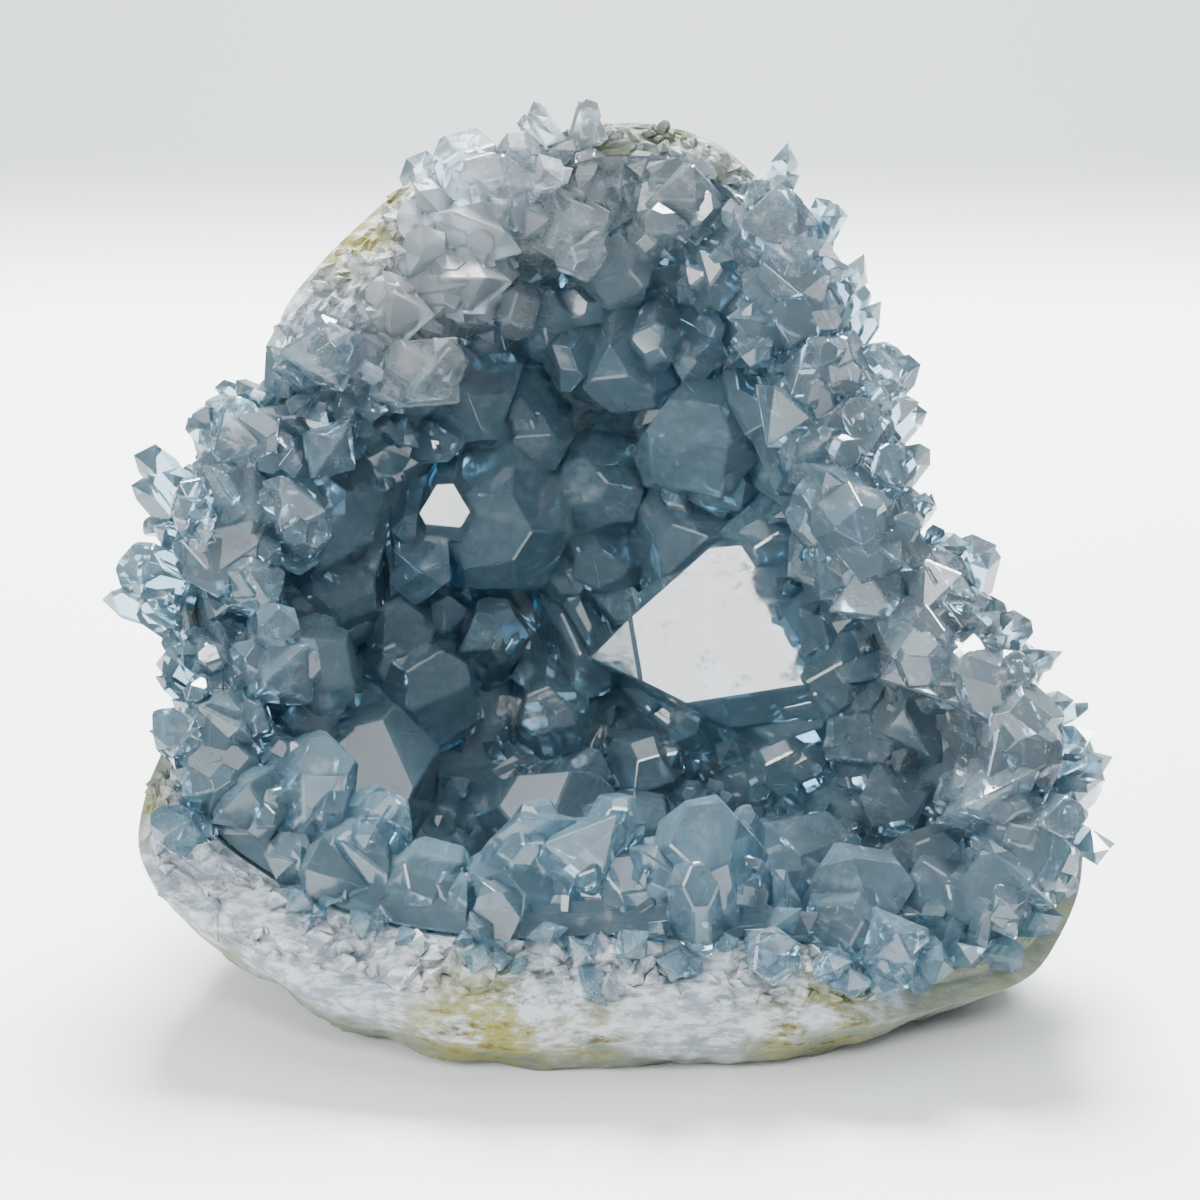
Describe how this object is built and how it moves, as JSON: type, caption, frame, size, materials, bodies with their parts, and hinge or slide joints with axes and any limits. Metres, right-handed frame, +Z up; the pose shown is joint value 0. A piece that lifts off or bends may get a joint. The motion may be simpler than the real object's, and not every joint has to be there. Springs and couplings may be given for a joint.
{
  "type": "celestite crystal cluster",
  "caption": "Broken geode piece of pale stone, its hollow lined with blocky blue-grey celestite crystals, standing on a flat spot.",
  "frame": {"origin": "a point of the flat spot that the piece stands on, near its middle", "axes": "+Z up, +X along the widest extent, the hollow opens towards -Y and +Z"},
  "size_m": [0.1118, 0.0954, 0.0966],
  "materials": {
    "stone": "rough, white to lilac-grey where broken, greenish grey skin with yellow and brown stains",
    "crystal": "glassy, translucent blue-grey, paler and frosted on broken ends"
  },
  "bodies": {
    "root": {"stone_rind": "stone", "crystal_crust": "crystal"}
  },
  "joints": []
}
